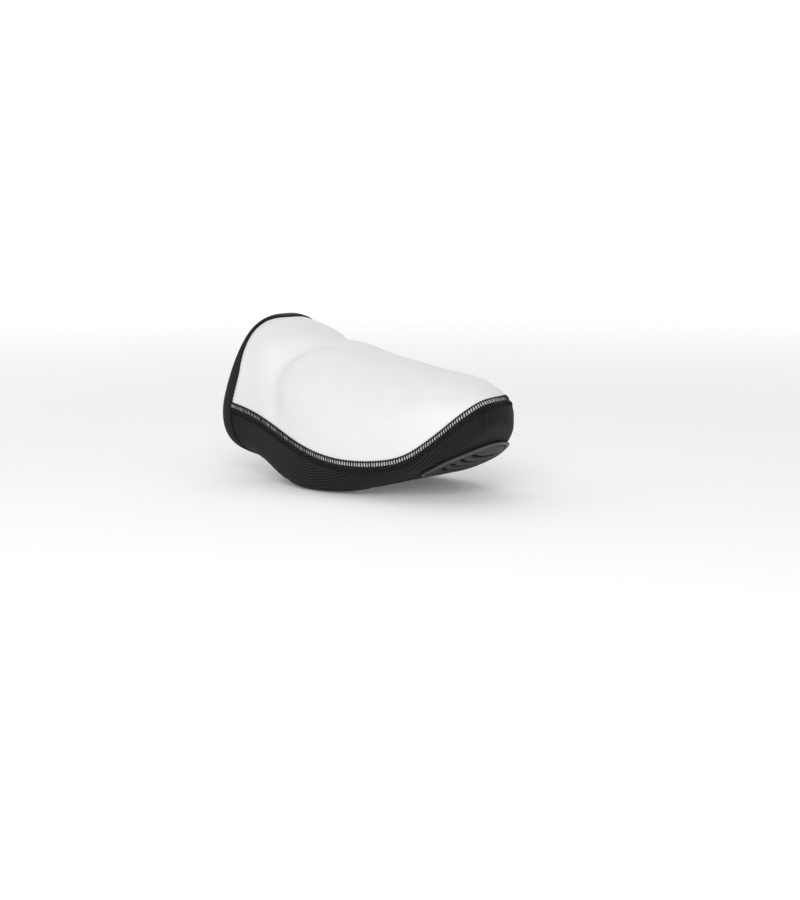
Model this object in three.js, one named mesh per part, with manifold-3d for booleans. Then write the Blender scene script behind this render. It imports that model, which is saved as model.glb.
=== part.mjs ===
// Cycling toe cover for the right foot, in the form it has on a road shoe.
//
// A white coated-neoprene upper and a black hard-wearing sole panel meet at a coverstitched
// seam that dips over the little toe and climbs over the tip. A folded elastic binding closes
// the rear edge, a ribbed rubber pad sits under the toe, and the sole is open for the cleat.
//
// Frame: millimetres, +X towards the toe, +Y towards the big toe (medial), +Z up.
// While it is built, x = 0 is the toe tip and "back" is the distance behind it, so x = -back.
// At the end the group is moved so that the sole rests on z = 0 and x = y = 0 is its middle.

import * as THREE from "three";
import Module from "manifold-3d";
import { mergeVertices } from "three/addons/utils/BufferGeometryUtils.js";

const wasm = await Module();
wasm.setup();

// ---------------------------------------------------------------- driving dimensions, mm

// Cross-sections across the foot, from the toe tip backwards. half_lateral and half_medial are
// the half widths either side of the axis, widest is the height where the section is widest,
// sole and ridge are its lowest and highest points, skew moves the ridge to the medial side,
// and round is the power of the upper curve (2 is an ellipse, more is squarer).
const SECTION_COLUMNS = ["back", "half_lateral", "half_medial", "axis",
  "sole", "widest", "ridge", "skew", "round"];
const SECTIONS = [
  [0, 34, 33, 4, 36, 50, 71, 0, 2.2],
  [15, 36, 35, 4.5, 26.5, 46, 71.5, 1, 2.2],
  [35, 42, 41, 4, 18, 39, 73, 3, 2.2],
  [60, 48, 45, 3, 7.2, 31, 75.5, 4, 2.2],
  [85, 52, 47, 1, -0.3, 25, 79.5, 5, 2.2],
  [110, 53.5, 46, 0, -3, 23, 84, 6, 2.2],
  [130, 51.5, 44, 0, -2, 25, 88.5, 6, 2.3],
  [147, 48.5, 42, 0, 3.5, 30, 91, 6, 2.4],
  [160, 46.5, 41, 0.5, 9.5, 33, 95, 5.5, 2.45],
  [175, 44.5, 40, 1, 13.5, 36, 99.5, 5, 2.5],
  [190, 43, 38, 1, 16.5, 39, 102, 5, 2.6],
  [215, 41, 36, 1, 19, 41, 100, 4, 2.6],
];
const UNDER_POWER = 6.5; // squareness of the lower half: a flat sole with rounded edges
// The plan outline and the height close to the toe tip like super-ellipses of these lengths.
const NOSE_PLAN = { length: 58, power: 2.4 };
const NOSE_RISE = { length: 40, power: 2.2 };
const REST_LEVEL = -1.5; // the ball of the sole is pressed flat at this height

// Stations go round the cover like the ribs of a boat. |station| up to 90 is the angle in
// degrees from straight ahead, about the toe centre; beyond 90 it is 90 plus the millimetres
// behind the toe centre. Lateral stations are negative and medial ones positive.
const TOE_CENTRE = 52; // distance behind the toe tip
const REAR_EDGE = 199.5; // the rear edge's furthest point, at the sides
// How far forward of REAR_EDGE the rear edge lies, by angle from level: -90 is under the foot,
// 0 the side and 90 the ridge.
const REAR_EDGE_SHAPE = [
  [-90, 40], [-65, 39], [-50, 36.5], [-40, 31], [-32, 20.5], [-24, 9.5],
  [-16, 3], [-8, 0.5], [0, 0], [20, 3], [40, 7], [60, 10], [90, 11],
];
// Height of the seam by |station|, on the lateral and on the medial side.
const SEAM_HEIGHT = [
  [0, 59.5, 59.5], [15, 54.5, 60], [30, 47.4, 58.8], [45, 39.6, 55], [60, 32.2, 50],
  [75, 25.4, 45], [90, 20.7, 41], [110, 19, 36], [130, 19.8, 34], [150, 24.2, 35],
  [175, 31.8, 39], [205, 40, 42], [245, 46, 46],
];
// Folds pressed into the upper: a shallow valley wherever the skin is at "radius" from a
// centre, fading in behind that centre and above the side, and round swellings.
const VALLEYS = [
  { back: 118, y: -28, z: 62, radius: 36, width: 7, depth: 1.8 },
  { back: 122, y: 24, z: 60, radius: 35, width: 7, depth: 1.0 },
];
const VALLEY_FADE = { ahead: 6, behind: 14, low: 30, high: 52 };
const SWELLINGS = [
  { back: 167, y: -31, z: 82, radius: 17, height: 1.4 },
  { back: 118, y: -44, z: 55, radius: 30, height: 1.2 },
  { back: 165, y: 28, z: 84, radius: 15, height: 1.0 },
];

const UPPER_WALL = 2.5;
const SOLE_WALL = 2.0;
const GAP = 0.3; // left between two pieces that lie on each other
const SEAM_TAPE = { above: 2.2, below: 4.6, thick: 0.7 };
const BINDING = { width: 7.5, thick: 0.9, clear: 0.6, fold: 1.8 };
// The opening for the cleat: a rounded rectangle in plan, cut from below to above.
const CLEAT_OPENING = { back: 104, y: 0, length: 72, width: 66, power: 4, below: -20, above: 16 };
// The rubber pad: a half ellipse in plan, squared by its power and leaning to the
// medial side, with transverse ribs that bow forward at the middle.
const TOE_PAD = { front: 15, rear: 44, y: 8, half_width: 30, power: 2.5, lean: 0.17, bow: 9,
  ribs: 6, base: 0.7, rib_height: 0.7, rim_height: 0.9,
  rim: 0.06, groove: 0.3, slope: 0.015 }; // shares of the length, of a pitch, of the length

const WHITE = { color: 0xeeeeee, roughness: 0.62, metalness: 0 };
const BLACK_FABRIC = { color: 0x1c1c1e, roughness: 0.85, metalness: 0 };
const BLACK_ELASTIC = { color: 0x222224, roughness: 0.6, metalness: 0 };
const BLACK_THREAD = { color: 0x2c2c2e, roughness: 0.8, metalness: 0 };
const RUBBER = { color: 0x3a3a3c, roughness: 0.5, metalness: 0 };

// ---------------------------------------------------------------- curves

/** Natural cubic spline through (xs, ys), held level beyond its ends. */
function spline(xs, ys) {
  const n = xs.length;
  const bend = new Array(n).fill(0);
  const upper = new Array(n).fill(0);
  for (let i = 1; i < n - 1; i++) {
    const before = xs[i] - xs[i - 1];
    const after = xs[i + 1] - xs[i];
    const turn = (ys[i + 1] - ys[i]) / after - (ys[i] - ys[i - 1]) / before;
    const pivot = 2 * (before + after) - before * upper[i - 1];
    upper[i] = after / pivot;
    bend[i] = (6 * turn - before * bend[i - 1]) / pivot;
  }
  for (let i = n - 2; i > 0; i--) bend[i] -= upper[i] * bend[i + 1];
  return (x) => {
    const at = Math.min(Math.max(x, xs[0]), xs[n - 1]);
    let i = 0;
    while (i < n - 2 && at >= xs[i + 1]) i++;
    const h = xs[i + 1] - xs[i];
    const a = xs[i + 1] - at;
    const b = at - xs[i];
    return (
      (bend[i] * a ** 3 + bend[i + 1] * b ** 3) / (6 * h) +
      (ys[i] / h - (bend[i] * h) / 6) * a +
      (ys[i + 1] / h - (bend[i + 1] * h) / 6) * b
    );
  };
}

/** One spline for a column of a table whose first column is the position. */
function columnSpline(table, column) {
  return spline(table.map((row) => row[0]), table.map((row) => row[column]));
}

const section = Object.fromEntries(
  SECTION_COLUMNS.map((name, column) => [name, columnSpline(SECTIONS, column)]),
);
const rearEdgeForward = columnSpline(REAR_EDGE_SHAPE, 1);
const seamLateral = columnSpline(SEAM_HEIGHT, 1);
const seamMedial = columnSpline(SEAM_HEIGHT, 2);

const radians = (degrees) => (degrees * Math.PI) / 180;
const smoothstep = (low, high, x) => {
  const t = Math.min(Math.max((x - low) / (high - low), 0), 1);
  return t * t * (3 - 2 * t);
};
const steps = (from, to, count) =>
  Array.from({ length: count + 1 }, (_, i) => from + ((to - from) * i) / count);

/** The share of full size at a distance behind the tip, rising like a super-ellipse. */
function nose(back, { length, power }) {
  const d = Math.max(1 - Math.max(back, 0) / length, 0);
  return (1 - d ** power) ** (1 / power);
}

// ---------------------------------------------------------------- the form

/** Negative inside the smooth form and positive outside it. */
function field(p) {
  const back = -p.x;
  if (back < 0) return 1 - back;
  const widest = section.widest(back);
  const plan = nose(back, NOSE_PLAN);
  const above = p.z > widest;
  const rise = above ? section.ridge(back) - widest : widest - section.sole(back);
  const climb = above ? (p.z - widest) / rise : 0;
  const lean = section.skew(back) * climb * climb * plan;
  const side = p.y - section.axis(back) - lean;
  const half = (side < 0 ? section.half_lateral(back) : section.half_medial(back)) * plan;
  const power = above ? section.round(back) : UNDER_POWER;
  const height = rise * nose(back, NOSE_RISE);
  return (
    (Math.abs(side) / (half + 1e-6)) ** power +
    (Math.abs(p.z - widest) / (height + 1e-6)) ** power - 1
  );
}

/** The point where a ray from inside leaves the form, by bisection. */
function cast(origin, direction) {
  let inside = 0;
  let outside = 160;
  const p = new THREE.Vector3();
  for (let i = 0; i < 36; i++) {
    const middle = (inside + outside) / 2;
    p.copy(origin).addScaledVector(direction, middle);
    if (field(p) > 0) outside = middle;
    else inside = middle;
  }
  return p.copy(origin).addScaledVector(direction, inside);
}

/** The outward normal of the form, from the slope of the field. */
function normalAt(p) {
  const e = 0.05;
  const slope = (dx, dy, dz) =>
    field(new THREE.Vector3(p.x + dx, p.y + dy, p.z + dz)) -
    field(new THREE.Vector3(p.x - dx, p.y - dy, p.z - dz));
  return new THREE.Vector3(slope(e, 0, 0), slope(0, e, 0), slope(0, 0, e)).normalize();
}

/** How far the skin stands out of the smooth form: its swellings less its valleys. */
function relief(p) {
  let out = 0;
  for (const v of VALLEYS) {
    const d = Math.hypot(p.x + v.back, p.y - v.y, p.z - v.z);
    const behind = smoothstep(v.back - VALLEY_FADE.ahead, v.back + VALLEY_FADE.behind, -p.x);
    const above = smoothstep(VALLEY_FADE.low, VALLEY_FADE.high, p.z);
    out -= v.depth * behind * above * Math.exp(-(((d - v.radius) / v.width) ** 2));
  }
  for (const s of SWELLINGS) {
    const d = Math.hypot(p.x + s.back, p.y - s.y, p.z - s.z);
    out += s.height * Math.exp(-((d / s.radius) ** 2));
  }
  return out;
}

/** A point of the form's surface lifted by "out" millimetres, negative inwards. */
function lift(surface, out) {
  const normal = normalAt(surface);
  const p = surface.clone().addScaledVector(normal, relief(surface));
  p.z = Math.max(p.z, REST_LEVEL);
  return p.addScaledVector(normal, out);
}

/** The surface point of a station at an angle from level, before it is lifted. */
function surfaceAt(station, angle) {
  const size = Math.abs(station);
  const behind = Math.max(size - 90, 0);
  const share = Math.min(behind / (REAR_EDGE - TOE_CENTRE), 1) ** 1.5;
  const back = TOE_CENTRE + behind - share * rearEdgeForward(angle);
  const turn = radians(Math.min(size, 90));
  const rise = radians(angle);
  const origin = new THREE.Vector3(-back, section.axis(back), section.widest(back));
  const direction = new THREE.Vector3(
    Math.cos(rise) * Math.cos(turn),
    Math.cos(rise) * Math.sin(turn) * (station < 0 ? -1 : 1),
    Math.sin(rise),
  );
  return cast(origin, direction);
}

/** The angle at which a station's line crosses the seam. */
function seamAngle(station) {
  const height = (station < 0 ? seamLateral : seamMedial)(Math.abs(station));
  let low = -60;
  let high = 85;
  for (let i = 0; i < 24; i++) {
    const middle = (low + high) / 2;
    if (surfaceAt(station, middle).z > height) high = middle;
    else low = middle;
  }
  return (low + high) / 2;
}

/** Angles on a station's line, evenly spaced along it between two arc lengths measured from
 *  the seam towards "end": 90 is the ridge and -90 under the foot. */
function anglesFromSeam(station, end, from, to, count) {
  const angles = steps(seamAngle(station), end, 60);
  const points = angles.map((angle) => surfaceAt(station, angle));
  const lengths = [0];
  for (let i = 1; i < points.length; i++)
    lengths.push(lengths[i - 1] + points[i].distanceTo(points[i - 1]));
  const whole = lengths[lengths.length - 1];
  return steps(from, to ?? whole, count).map((length) => {
    if (length >= whole) return end;
    let i = 0;
    while (i < lengths.length - 2 && lengths[i + 1] < length) i++;
    const share = (length - lengths[i]) / (lengths[i + 1] - lengths[i]);
    return angles[i] + (angles[i + 1] - angles[i]) * share;
  });
}

/** The surface points at those angles. */
function runFromSeam(station, end, from, to, count) {
  return anglesFromSeam(station, end, from, to, count)
    .map((angle) => surfaceAt(station, angle));
}

// ---------------------------------------------------------------- solids

/** A welded triangle mesh with two positions per vertex, for the two faces of a wall. */
class Sheet {
  constructor() {
    this.known = new Map();
    this.outer = [];
    this.inner = [];
    this.triangles = [];
  }
  vertex(outer, inner) {
    const key = [outer.x, outer.y, outer.z].map((v) => Math.round(v * 500)).join(" ");
    if (!this.known.has(key)) {
      this.known.set(key, this.outer.length);
      this.outer.push(outer);
      this.inner.push(inner);
    }
    return this.known.get(key);
  }
  triangle(a, b, c) {
    if (a !== b && b !== c && c !== a) this.triangles.push([a, b, c]);
  }
  grid(rows) {
    const ids = rows.map((row) => row.map(([outer, inner]) => this.vertex(outer, inner)));
    for (let i = 0; i + 1 < ids.length; i++)
      for (let j = 0; j + 1 < ids[i].length; j++) {
        this.triangle(ids[i][j], ids[i + 1][j], ids[i + 1][j + 1]);
        this.triangle(ids[i][j], ids[i + 1][j + 1], ids[i][j + 1]);
      }
    return this;
  }
  /** The closed wall: both faces, and a strip along every open edge. */
  wall() {
    const count = this.outer.length;
    const faces = [];
    const open = new Map();
    for (const [a, b, c] of this.triangles) {
      faces.push([a, b, c], [c + count, b + count, a + count]);
      for (const [from, to] of [[a, b], [b, c], [c, a]]) {
        if (open.has(to + " " + from)) open.delete(to + " " + from);
        else open.set(from + " " + to, [from, to]);
      }
    }
    for (const [from, to] of open.values())
      faces.push([to, from, from + count], [to, from + count, to + count]);
    return solidGeometry([...this.outer, ...this.inner], faces);
  }
}

/** A geometry from points and faces, turned so that its faces look outwards. */
function solidGeometry(points, faces) {
  let volume = 0;
  for (const [a, b, c] of faces)
    volume += points[a].dot(new THREE.Vector3().crossVectors(points[b], points[c]));
  const turned = volume < 0 ? faces.map(([a, b, c]) => [a, c, b]) : faces;
  const geometry = new THREE.BufferGeometry();
  geometry.setAttribute("position",
    new THREE.Float32BufferAttribute(points.flatMap((p) => [p.x, p.y, p.z]), 3));
  geometry.setIndex(turned.flat());
  geometry.computeVertexNormals();
  return geometry;
}

/** A solid swept along a closed loop, from one ring of points at each place on the loop. */
function ringSweep(rings) {
  const size = rings[0].length;
  const faces = [];
  rings.forEach((_, i) => {
    const next = (i + 1) % rings.length;
    for (let j = 0; j < size; j++) {
      const k = (j + 1) % size;
      faces.push([i * size + j, next * size + j, next * size + k]);
      faces.push([i * size + j, next * size + k, i * size + k]);
    }
  });
  return solidGeometry(rings.flat(), faces);
}

/** The solid that manifold-3d cuts, from a geometry's positions alone. */
function solidOf(geometry) {
  const bare = new THREE.BufferGeometry();
  bare.setAttribute("position", geometry.getAttribute("position"));
  bare.setIndex(geometry.index);
  const merged = mergeVertices(bare, 1e-4);
  return new wasm.Manifold(new wasm.Mesh({
    numProp: 3,
    vertProperties: new Float32Array(merged.getAttribute("position").array),
    triVerts: new Uint32Array(merged.index.array),
  }));
}

/** geometry with a tool's geometry cut out of it. */
function cutAway(geometry, tool) {
  const mesh = solidOf(geometry).subtract(solidOf(tool)).getMesh();
  const cut = new THREE.BufferGeometry();
  cut.setAttribute("position", new THREE.Float32BufferAttribute(mesh.vertProperties, 3));
  cut.setIndex([...mesh.triVerts]);
  cut.computeVertexNormals();
  return cut;
}

// ---------------------------------------------------------------- the pieces

const LAST_STATION = 90 + REAR_EDGE - TOE_CENTRE;
const sideStations = steps(LAST_STATION, 90, 28).slice(0, -1);
const toeStations = steps(90, 0, 9);
const halfStations = [...sideStations, ...toeStations];
const allStations = [...halfStations.map((s) => -s), ...halfStations.slice(0, -1).reverse()];

/** A wall that hangs from the seam: upwards to the ridge, or downwards under the foot. */
function panel(end, rows, thick) {
  const clear = GAP / 2;
  const columns = allStations.map((station) =>
    runFromSeam(station, end, clear, undefined, rows)
      .map((p) => [lift(p, 0), lift(p, -thick)]));
  return new Sheet().grid(columns).wall();
}

const UPPER_ROWS = 11;
const SOLE_ROWS = 13;
const upperPanel = panel(90, UPPER_ROWS, UPPER_WALL);

/** The upright prism that cuts the cleat opening through the sole. */
function cleatPrism() {
  const { back, y, length, width, power, below, above } = CLEAT_OPENING;
  const outline = steps(0, 2 * Math.PI, 40).slice(0, -1).map((t) => {
    const along = Math.sign(Math.cos(t)) * Math.abs(Math.cos(t)) ** (2 / power);
    const across = Math.sign(Math.sin(t)) * Math.abs(Math.sin(t)) ** (2 / power);
    return new THREE.Vector2(-back + (length / 2) * along, y + (width / 2) * across);
  });
  const options = { depth: above - below, bevelEnabled: false };
  return new THREE.ExtrudeGeometry(new THREE.Shape(outline), options).translate(0, 0, below);
}
const solePanel = cutAway(panel(-90, SOLE_ROWS, SOLE_WALL), cleatPrism());

/** The flat tape of stitching that covers the seam, stopping short of the binding. */
function seamTape() {
  const stop = LAST_STATION - BINDING.width - 1;
  const stations = allStations.map((s) => Math.sign(s) * Math.min(Math.abs(s), stop))
    .filter((s, i, list) => i === 0 || s !== list[i - 1]);
  const columns = stations.map((station) => {
    const up = runFromSeam(station, 90, 0, SEAM_TAPE.above, 1);
    const down = runFromSeam(station, -90, 0, SEAM_TAPE.below, 2);
    return [up[1], ...down].map((p) => [lift(p, GAP + SEAM_TAPE.thick), lift(p, GAP)]);
  });
  return new Sheet().grid(columns).wall();
}

/** The elastic binding: a folded strip round the whole rear edge. */
function rearBinding() {
  const { width, thick, clear, fold } = BINDING;
  const outside = clear;
  const inside = -UPPER_WALL - clear;
  const middle = (outside + inside) / 2;
  // Each corner of the folded strip: distance in front of the edge, and out from the skin.
  const profile = [
    [width, outside], [width, outside + thick], [fold / 3, outside + thick],
    [-fold * 0.7, outside + thick * 0.3], [-fold, middle], [-fold * 0.7, inside - thick * 0.3],
    [fold / 3, inside - thick], [width, inside - thick], [width, inside],
    [-clear, inside], [-clear, outside],
  ];
  const halfLoop = (side) => [
    ...anglesFromSeam(side * LAST_STATION, -90, GAP / 2, undefined, 2 * SOLE_ROWS).reverse(),
    ...anglesFromSeam(side * LAST_STATION, 90, GAP / 2, undefined, UPPER_ROWS),
  ].map((angle) => [side, angle]);
  const loop = [...halfLoop(-1), ...halfLoop(1).slice(1, -1).reverse()];
  return ringSweep(loop.map(([side, angle]) => profile.map(([forward, out]) =>
    lift(surfaceAt(side * (LAST_STATION - forward), angle), out))));
}

/** The ribbed rubber pad under the toe. A place on it is given by "across" from -1 on the
 *  lateral side to 1 on the medial side, and "along" from 0 at its front to 1 at its rear. */
function toePad() {
  const { front, rear, y, half_width, power, lean, bow } = TOE_PAD;
  const { ribs, base, rib_height, rim_height, rim, groove, slope } = TOE_PAD;
  const place = (across, along) => {
    const turn = radians(18 + 72 * along);
    const reach = half_width * Math.sin(turn) ** (2 / power) * across;
    const ahead = Math.max(Math.cos(turn), 0) ** (2 / power);
    const edge = rear - (rear - front + lean * reach) * ahead;
    const crown = front + (rear - bow - front) * along - lean * reach * ahead;
    const back = crown + (edge - crown) * across * across;
    const origin = new THREE.Vector3(-back, y + reach, section.widest(back));
    return cast(origin, new THREE.Vector3(0, 0, -1));
  };
  // Rows from front to rear, each with its height above the base: the rim, then for each rib
  // its two upper and two lower edges, then the rim again.
  const first = rim + 2 * slope;
  const pitch = (1 - 2 * first) / ribs;
  const rows = [[0, rim_height], [rim, rim_height], [rim + slope, 0]];
  for (const start of steps(first, 1 - first, ribs).slice(0, -1)) {
    const end = start + pitch * (1 - groove);
    rows.push([start, rib_height], [end, rib_height]);
    rows.push([end + slope, 0], [start + pitch - slope, 0]);
  }
  rows.push([1 - rim, rim_height], [1, rim_height]);
  const side = 1 - rim;
  const inner = side - slope;
  const columns = [-1, -side, -inner, ...steps(-inner + 0.05, inner - 0.05, 9), inner, side, 1];
  return new Sheet().grid(rows.map(([along, height]) => columns.map((across) => {
    const p = place(across, along);
    const raised = Math.abs(across) >= side ? rim_height : height;
    return [lift(p, GAP + base + raised), lift(p, GAP)];
  }))).wall();
}

// ---------------------------------------------------------------- assembly

const part = new THREE.Group();
part.name = "toe_cover";

function add(name, geometry, finish) {
  const mesh = new THREE.Mesh(geometry, new THREE.MeshStandardMaterial(finish));
  mesh.name = name;
  part.add(mesh);
}

add("upper_panel", upperPanel, WHITE);
add("sole_panel", solePanel, BLACK_FABRIC);
add("seam_tape", seamTape(), BLACK_THREAD);
add("rear_binding", rearBinding(), BLACK_ELASTIC);
add("toe_pad", toePad(), RUBBER);

const box = new THREE.Box3().setFromObject(part);
const middle = box.getCenter(new THREE.Vector3());
part.position.set(-middle.x, -middle.y, -box.min.z);

export default part;
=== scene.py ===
# %% [markdown]
# # A cycling toe cover
#
# A toe cover is pulled over the front of a road cycling shoe to keep wind and water off the
# toes. This one has a white upper of coated neoprene, a black ribbed panel round the toe, the
# sides and the sole, an elastic binding on its rear edge and a rubber pad under the toe.
#
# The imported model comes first. It is the fixed frame: every piece below is placed from it,
# in metres, with +X towards the toe, +Y towards the big toe and +Z up.

# %% Load the frame
import math
import bpy
import numpy as np
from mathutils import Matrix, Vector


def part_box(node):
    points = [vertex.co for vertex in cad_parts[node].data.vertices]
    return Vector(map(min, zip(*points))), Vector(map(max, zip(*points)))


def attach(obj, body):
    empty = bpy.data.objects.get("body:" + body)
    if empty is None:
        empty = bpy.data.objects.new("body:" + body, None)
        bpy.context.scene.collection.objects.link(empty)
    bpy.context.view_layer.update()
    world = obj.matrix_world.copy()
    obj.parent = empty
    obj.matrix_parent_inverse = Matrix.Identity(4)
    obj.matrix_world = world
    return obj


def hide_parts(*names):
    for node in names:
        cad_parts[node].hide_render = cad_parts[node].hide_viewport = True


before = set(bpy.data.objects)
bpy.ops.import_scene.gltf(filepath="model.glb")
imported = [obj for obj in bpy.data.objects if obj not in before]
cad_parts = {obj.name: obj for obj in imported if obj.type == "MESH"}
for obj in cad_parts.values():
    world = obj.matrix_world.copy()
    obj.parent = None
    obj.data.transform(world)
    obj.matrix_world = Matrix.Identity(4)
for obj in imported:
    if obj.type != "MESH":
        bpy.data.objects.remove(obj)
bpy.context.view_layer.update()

MM = 0.001

# %% [markdown]
# ## The form
#
# A foot in a shoe has no simple formula, but its cross-sections do. Each one is a
# super-ellipse: an ellipse whose power is raised to square its corners. A short table gives
# the sections from the toe backwards, and a smooth curve through each column fills in
# between them. The alternative is to push the vertices of a subdivided cage about by hand,
# which is quick to start and slow to correct. With a table, one number moves one feature.
#
# Lengths in the tables are in millimetres. "Back" is the distance behind the toe tip.

# %% A smooth curve through the rows of a table
def curve(table, column):
    """Natural cubic spline through one column of a table against its first column.

    Each piece between two rows is the cubic that matches both values and whose second
    derivative runs straight from one row to the next; it is zero at both ends.
    """
    rows = np.array(table, float)
    x, y = rows[:, 0], rows[:, column]
    h = np.diff(x)
    slopes = np.diff(y) / h
    system = np.eye(len(x))
    inner = np.arange(1, len(x) - 1)
    system[inner, inner - 1] = h[:-1]
    system[inner, inner] = 2 * (h[:-1] + h[1:])
    system[inner, inner + 1] = h[1:]
    bend = np.linalg.solve(system, np.concatenate([[0], 6 * np.diff(slopes), [0]]))

    fine = np.linspace(x[0], x[-1], 1601)
    i = np.clip(np.searchsorted(x, fine, side="right") - 1, 0, len(h) - 1)
    a, b = x[i + 1] - fine, fine - x[i]
    cubic = (bend[i] * a**3 + bend[i + 1] * b**3) / (6 * h[i])
    line = (y[i] * a + y[i + 1] * b) / h[i] - h[i] * (bend[i] * a + bend[i + 1] * b) / 6
    return lambda at: np.interp(at, fine, cubic + line)

# %% The cross-sections
SECTION_COLUMNS = ["back", "half_lateral", "half_medial", "axis",
                   "sole", "widest", "ridge", "skew", "round"]
SECTIONS = [
    [0, 34, 33, 4, 36, 50, 71, 0, 2.2],
    [15, 36, 35, 4.5, 26.5, 46, 71.5, 1, 2.2],
    [35, 42, 41, 4, 18, 39, 73, 3, 2.2],
    [60, 48, 45, 3, 7.2, 31, 75.5, 4, 2.2],
    [85, 52, 47, 1, -0.3, 25, 79.5, 5, 2.2],
    [110, 53.5, 46, 0, -3, 23, 84, 6, 2.2],
    [130, 51.5, 44, 0, -2, 25, 88.5, 6, 2.3],
    [147, 48.5, 42, 0, 3.5, 30, 91, 6, 2.4],
    [160, 46.5, 41, 0.5, 9.5, 33, 95, 5.5, 2.45],
    [175, 44.5, 40, 1, 13.5, 36, 99.5, 5, 2.5],
    [190, 43, 38, 1, 16.5, 39, 102, 5, 2.6],
    [215, 41, 36, 1, 19, 41, 100, 4, 2.6],
]
section = {name: curve(SECTIONS, i) for i, name in enumerate(SECTION_COLUMNS) if i}
UNDER_POWER = 6.5   # the lower half: a flat sole with rounded edges
NOSE_PLAN = (58, 2.4)   # length and power of the toe's rounding seen from above
NOSE_RISE = (40, 2.2)   # and seen from the side
print(f"{len(SECTIONS)} sections over {SECTIONS[-1][0]} mm")

# %% Inside or outside
def nose(back, length, power):
    """Share of full size near the toe tip: (1 - (1 - back/length)^power)^(1/power)."""
    d = np.clip(1 - np.maximum(back, 0) / length, 0, 1)
    return (1 - d**power) ** (1 / power)


def field(p):
    """|side/half|^power + |height/rise|^power - 1: negative inside the form, positive outside."""
    back = -p[..., 0]
    widest = section["widest"](back)
    plan = nose(back, *NOSE_PLAN)
    above = p[..., 2] > widest
    rise = np.where(above, section["ridge"](back) - widest, widest - section["sole"](back))
    climb = np.where(above, (p[..., 2] - widest) / rise, 0)
    side = p[..., 1] - section["axis"](back) - section["skew"](back) * climb**2 * plan
    half = np.where(side < 0, section["half_lateral"](back), section["half_medial"](back)) * plan
    power = np.where(above, section["round"](back), UNDER_POWER)
    height = rise * nose(back, *NOSE_RISE)
    inside = ((np.abs(side) / (half + 1e-6)) ** power
              + (np.abs(p[..., 2] - widest) / (height + 1e-6)) ** power - 1)
    return np.where(back < 0, 1 - back, inside)

# %% From the axis out to the skin
LONGEST_RAY = 160.0   # this far from the axis every point is outside
RAY_HALVINGS = 32
NORMAL_STEP = 0.05


def cast(origin, direction):
    """Where a ray from inside leaves the form: the stretch that holds the crossing is halved."""
    inside = np.zeros(origin.shape[:-1])
    outside = np.full_like(inside, LONGEST_RAY)
    for _ in range(RAY_HALVINGS):
        middle = (inside + outside) / 2
        is_out = field(origin + direction * middle[..., None]) > 0
        outside = np.where(is_out, middle, outside)
        inside = np.where(is_out, inside, middle)
    return origin + direction * inside[..., None]


def normal_at(p):
    """The slope of the field, from a small step each way on each axis, made one unit long."""
    steps = NORMAL_STEP * np.eye(3)
    slope = np.stack([field(p + step) - field(p - step) for step in steps], -1)
    return slope / np.linalg.norm(slope, axis=-1, keepdims=True)


def smoothstep(low, high, x):
    """3t^2 - 2t^3, where t runs from 0 at low to 1 at high."""
    t = np.clip((x - low) / (high - low), 0, 1)
    return t * t * (3 - 2 * t)

# %% [markdown]
# Neoprene is a foam, so it doesn't lie dead flat. Behind the ball of the foot it folds in a
# shallow arc, and it swells out in front of and behind the fold. These are added to the form
# along its normal: a valley where the skin is at a given distance from a centre, and bumps
# that fall off like a bell curve. Sculpting would do as well, but couldn't be written down.

# %% Folds and swellings
VALLEYS = [   # back, y, z, radius, width, depth
    [118, -28, 62, 37.3, 7.0, 5.4],
    [122, 24, 60, 36, 6.4, 1.8],
]
SWELLINGS = [   # back, y, z, radius, height
    [175, -25, 90, 14, 2.6],
    [168, -30, 83, 9, 1.7],
    [130, -26, 80, 20, 1.6],
    [118, -36, 62, 26, 1.4],
    [118, -44, 50, 30, 0.7],
    [163, 27, 84, 14, 1.2],
]
VALLEY_START = (-6, 14)    # backwards from its centre, where a valley begins and is full
SIDE_FADE = (30, 52)       # the height at which it rises out of the side
SHOULDER_FADE = (58, 82)   # and at which it grows from this share to all of its depth
SHOULDER_SHARE = 0.45
RIDGE_FADE = (84, 95)      # over the ridge it loses this share again
RIDGE_LOSS = 0.4


def valley_share(p, back):
    """The part of a valley's depth that shows: a product of smoothsteps, one over the distance
    behind its centre and three over the height."""
    height = p[..., 2]
    start = smoothstep(back + VALLEY_START[0], back + VALLEY_START[1], -p[..., 0])
    shoulder = SHOULDER_SHARE + (1 - SHOULDER_SHARE) * smoothstep(*SHOULDER_FADE, height)
    ridge = 1 - RIDGE_LOSS * smoothstep(*RIDGE_FADE, height)
    return start * smoothstep(*SIDE_FADE, height) * (shoulder * ridge)


def relief(p):
    """Swellings height*exp(-(d/radius)^2) less valleys depth*share*exp(-((d - radius)/width)^2),
    where d is the distance from the centre."""
    out = np.zeros(p.shape[:-1])
    for back, y, z, radius, width, depth in VALLEYS:
        d = np.linalg.norm(p - [-back, y, z], axis=-1)
        out -= depth * valley_share(p, back) * np.exp(-((d - radius) / width) ** 2)
    for back, y, z, radius, height in SWELLINGS:
        d = np.linalg.norm(p - [-back, y, z], axis=-1)
        out += height * np.exp(-((d / radius) ** 2))
    return out

# %% The skin
REST_LEVEL = -1.5   # the ball of the sole is pressed flat here
PRESS = 0.3         # over this height the flat place rounds into the rest


def lifted(p, out=0.0):
    """The form's point moved along its normal by the relief, pressed flat from below, then by out.

    The press is a soft maximum, level + k*log(1 + exp((z - level)/k)), so it leaves no crease.
    """
    normal = normal_at(p)
    q = p + normal * relief(p)[..., None]
    q[..., 2] = REST_LEVEL + PRESS * np.logaddexp(0, (q[..., 2] - REST_LEVEL) / PRESS)
    return q + normal * np.broadcast_to(out, q.shape[:-1])[..., None]

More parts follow.
